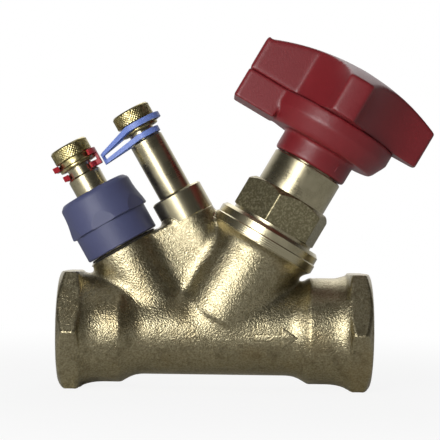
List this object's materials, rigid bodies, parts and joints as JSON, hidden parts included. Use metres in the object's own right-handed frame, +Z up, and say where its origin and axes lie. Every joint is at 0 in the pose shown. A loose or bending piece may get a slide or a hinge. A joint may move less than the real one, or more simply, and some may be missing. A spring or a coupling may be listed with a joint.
{
  "type": "circuit balancing valve",
  "caption": "Brass oblique balancing valve with female threaded ends, red digital handwheel, two measuring nipples with tethered caps and a capped drain.",
  "frame": {"origin": "centre of the inlet port's mouth", "axes": "+X along the pipe from inlet to outlet, +Z up towards the handwheel, -Y is the side the picture shows"},
  "size_m": [0.1361, 0.0652, 0.124],
  "materials": {
    "cast_brass": "rough sand-cast, bright yellow brown",
    "turned_brass": "turned, bright",
    "stem_brass": "turned",
    "steel": "plain",
    "red_plastic": "satin red polyamide",
    "white_plastic": "satin",
    "clear_plastic": "clear",
    "dark_blue_plastic": "satin slate blue",
    "light_blue_plastic": "satin light blue",
    "strap_red_plastic": "satin red",
    "black_rubber": "matte",
    "white_seal": "smooth"
  },
  "bodies": {
    "valve": {"valve_body": "cast_brass", "bonnet": "turned_brass", "bonnet_gasket": "black_rubber", "spindle_retainer": "steel", "tenths_ring": "white_plastic", "outlet_nipple": "turned_brass", "outlet_core": "black_rubber", "inlet_nipple": "turned_brass", "inlet_core": "black_rubber", "drain_adapter": "turned_brass", "blue_strap": "light_blue_plastic", "red_strap": "strap_red_plastic"},
    "handwheel": {"wheel_base": "red_plastic", "wheel_cover": "red_plastic", "display_lens": "clear_plastic", "handwheel_screw": "steel", "top_cap": "red_plastic", "spindle": "stem_brass", "spindle_o_rings": "black_rubber", "limit_screw": "steel"},
    "number_ring": {"turns_ring": "white_plastic"},
    "cone": {"cone": "stem_brass", "cone_seal": "white_seal", "throttle_plug": "stem_brass"},
    "outlet_gasket": {"outlet_cap_gasket": "black_rubber"},
    "outlet_cap": {"outlet_cap": "turned_brass"},
    "inlet_gasket": {"inlet_cap_gasket": "black_rubber"},
    "inlet_cap": {"inlet_cap": "turned_brass"},
    "drain_gasket": {"drain_gasket": "black_rubber"},
    "drain_cap": {"drain_cap": "dark_blue_plastic"}
  },
  "joints": [
    {"name": "handwheel_turn", "type": "hinge", "parent": "valve", "child": "handwheel", "pos_m": [0.05375, 0, 0], "axis": [0.5, 0, 0.866], "range_deg": [0, 1440.2]},
    {"name": "turns_advance", "type": "hinge", "parent": "handwheel", "child": "number_ring", "pos_m": [0.05375, 0, 0], "axis": [0.5, 0, 0.866], "range_deg": [-144.1, 0]},
    {"name": "cone_lift", "type": "slide", "parent": "valve", "child": "cone", "axis": [0.5, 0, 0.866], "range_m": [0, 0.008]},
    {"name": "outlet_cap_rise", "type": "slide", "parent": "valve", "child": "outlet_gasket", "axis": [-0.5, 0, 0.866], "range_m": [0, 0.0032]},
    {"name": "outlet_cap_turn", "type": "hinge", "parent": "outlet_gasket", "child": "outlet_cap", "pos_m": [0.02835, 0, 0.06928], "axis": [-0.5, 0, 0.866], "range_deg": [0, 1440.2]},
    {"name": "inlet_cap_rise", "type": "slide", "parent": "valve", "child": "inlet_gasket", "axis": [-0.5, 0, 0.866], "range_m": [0, 0.0032]},
    {"name": "inlet_cap_turn", "type": "hinge", "parent": "inlet_gasket", "child": "inlet_cap", "pos_m": [0.00615, 0, 0.05716], "axis": [-0.5, 0, 0.866], "range_deg": [0, 1440.2]},
    {"name": "drain_cap_rise", "type": "slide", "parent": "valve", "child": "drain_gasket", "axis": [-0.5, 0, 0.866], "range_m": [0, 0.00544]},
    {"name": "drain_cap_turn", "type": "hinge", "parent": "drain_gasket", "child": "drain_cap", "pos_m": [0.01665, 0, 0.03897], "axis": [-0.5, 0, 0.866], "range_deg": [0, 1080.2]}
  ],
  "couplings": [
    {"joint": "handwheel_turn", "follows": "cone_lift", "rad_per_m": 3141.6},
    {"joint": "turns_advance", "follows": "cone_lift", "rad_per_m": -314.16},
    {"joint": "outlet_cap_turn", "follows": "outlet_cap_rise", "rad_per_m": 7854},
    {"joint": "inlet_cap_turn", "follows": "inlet_cap_rise", "rad_per_m": 7854},
    {"joint": "drain_cap_turn", "follows": "drain_cap_rise", "rad_per_m": 3463.7}
  ]
}
